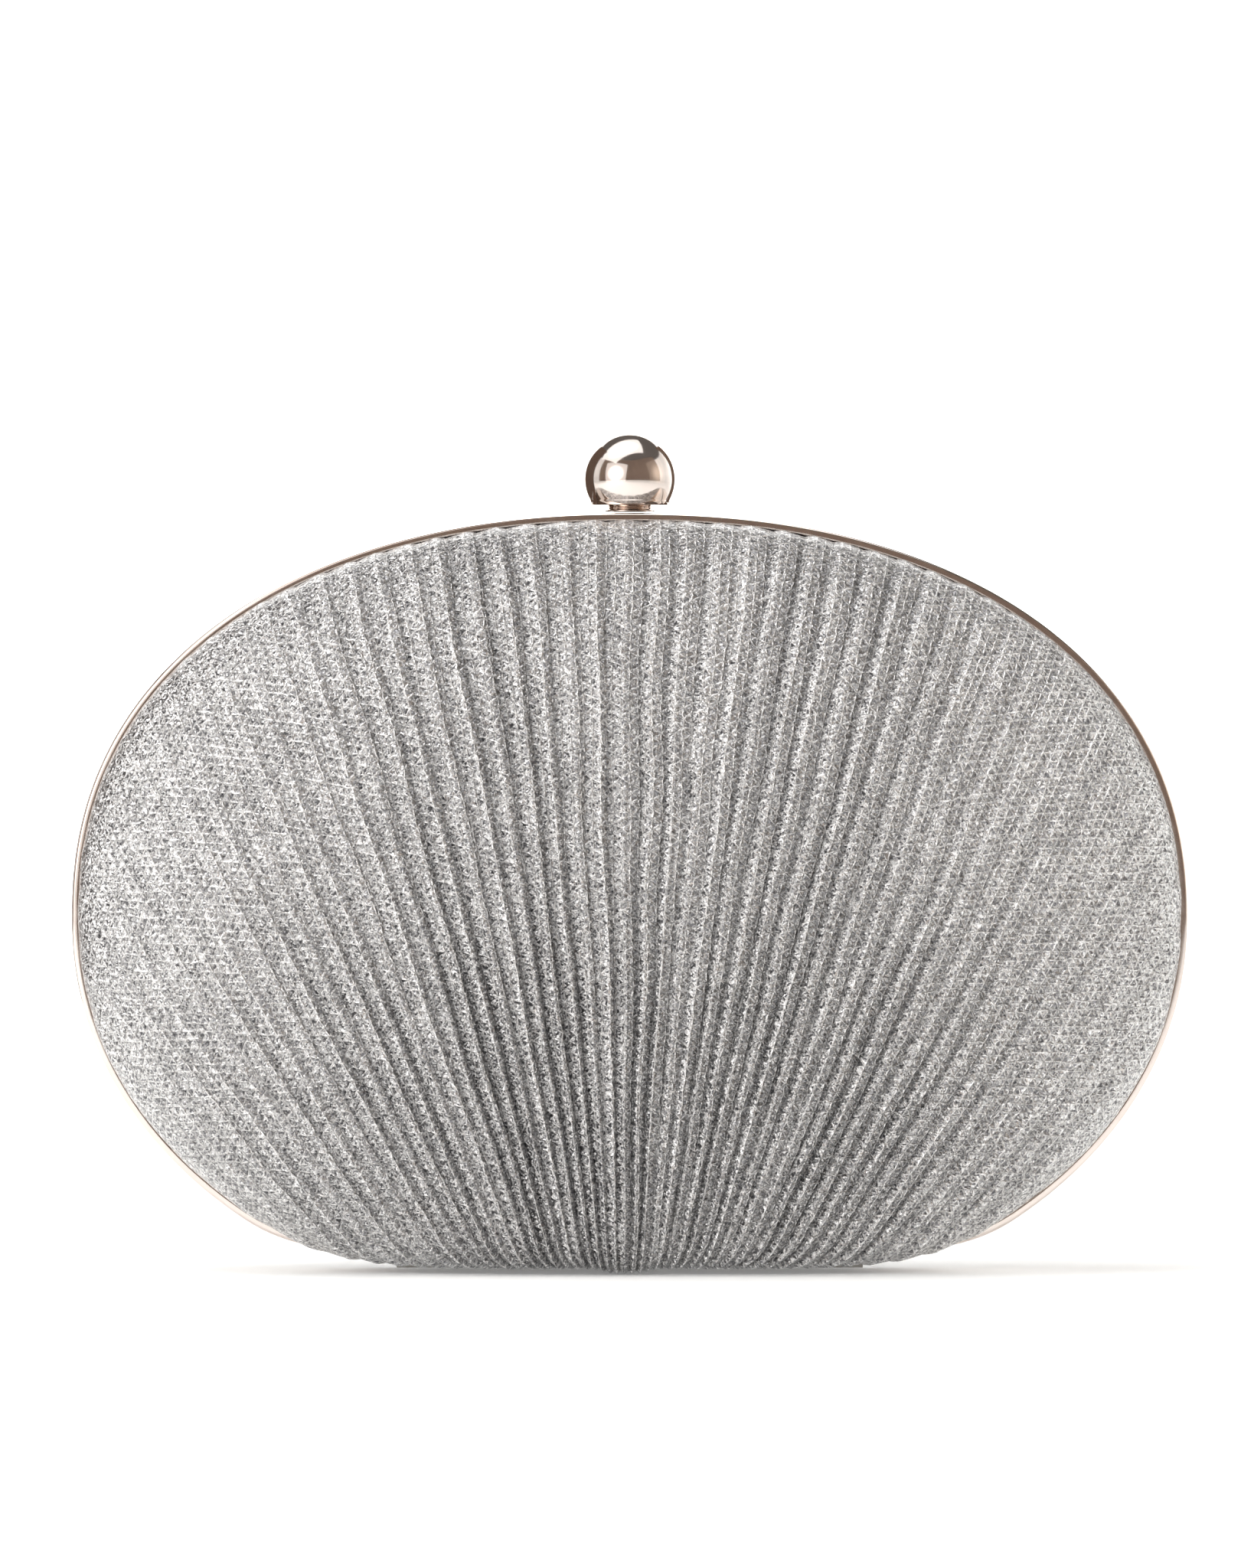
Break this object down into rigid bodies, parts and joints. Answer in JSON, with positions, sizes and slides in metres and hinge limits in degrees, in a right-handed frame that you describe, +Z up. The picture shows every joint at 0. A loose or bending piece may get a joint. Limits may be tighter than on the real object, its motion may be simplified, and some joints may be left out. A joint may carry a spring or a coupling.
{
  "type": "evening bag",
  "caption": "Oval hard-shell evening bag in pleated metallic net, with a slim metal frame, a base hinge and a ball clasp.",
  "frame": {"origin": "centre of the base, on the surface that the bag stands on", "axes": "+X across the bag, to the right seen from the front; +Y from the front cover to the rear cover; +Z up"},
  "size_m": [0.21, 0.052, 0.1582],
  "materials": {
    "net": "pleated silver metallic net over glitter ground",
    "plating": "polished pale nickel-gold plating",
    "steel": "nickel-plated pressed steel",
    "foam": "thin wadding",
    "shell_board": "moulded dark plastic",
    "satin": "silver-grey satin"
  },
  "bodies": {
    "rear_half": {"rear_frame": "plating", "rear_cover": "net", "rear_padding": "foam", "rear_shell": "shell_board", "rear_lining": "satin", "rear_hinge_leaf": "steel", "rear_hinge_rivet_1": "steel", "rear_hinge_rivet_2": "steel", "rear_hinge_rivet_3": "steel", "slip_pocket": "satin", "hinge_pin": "steel", "latch_bracket": "steel", "latch_pivot_pin": "steel", "latch_spring": "steel", "bracket_rivet_1": "steel", "bracket_rivet_2": "steel"},
    "front_half": {"front_frame": "plating", "front_cover": "net", "front_padding": "foam", "front_shell": "shell_board", "front_lining": "satin", "front_hinge_leaf": "steel", "front_hinge_rivet_1": "steel", "front_hinge_rivet_2": "steel", "front_hinge_rivet_3": "steel", "catch_plate": "steel", "catch_rivet_1": "steel", "catch_rivet_2": "steel"},
    "latch": {"latch_lever": "steel", "clasp_neck": "plating", "clasp_ball": "plating"}
  },
  "joints": [
    {"name": "lid_hinge", "type": "hinge", "parent": "rear_half", "child": "front_half", "pos_m": [0, 0, 0.002], "axis": [1, 0, 0], "range_deg": [0, 45]},
    {"name": "latch_tilt", "type": "hinge", "parent": "rear_half", "child": "latch", "pos_m": [0, 0.0026, 0.136], "axis": [-1, 0, 0], "range_deg": [0, 10], "stiffness_Nm_per_rad": 0.12, "springref_deg": -8.59, "deforming": ["latch_spring"]}
  ]
}
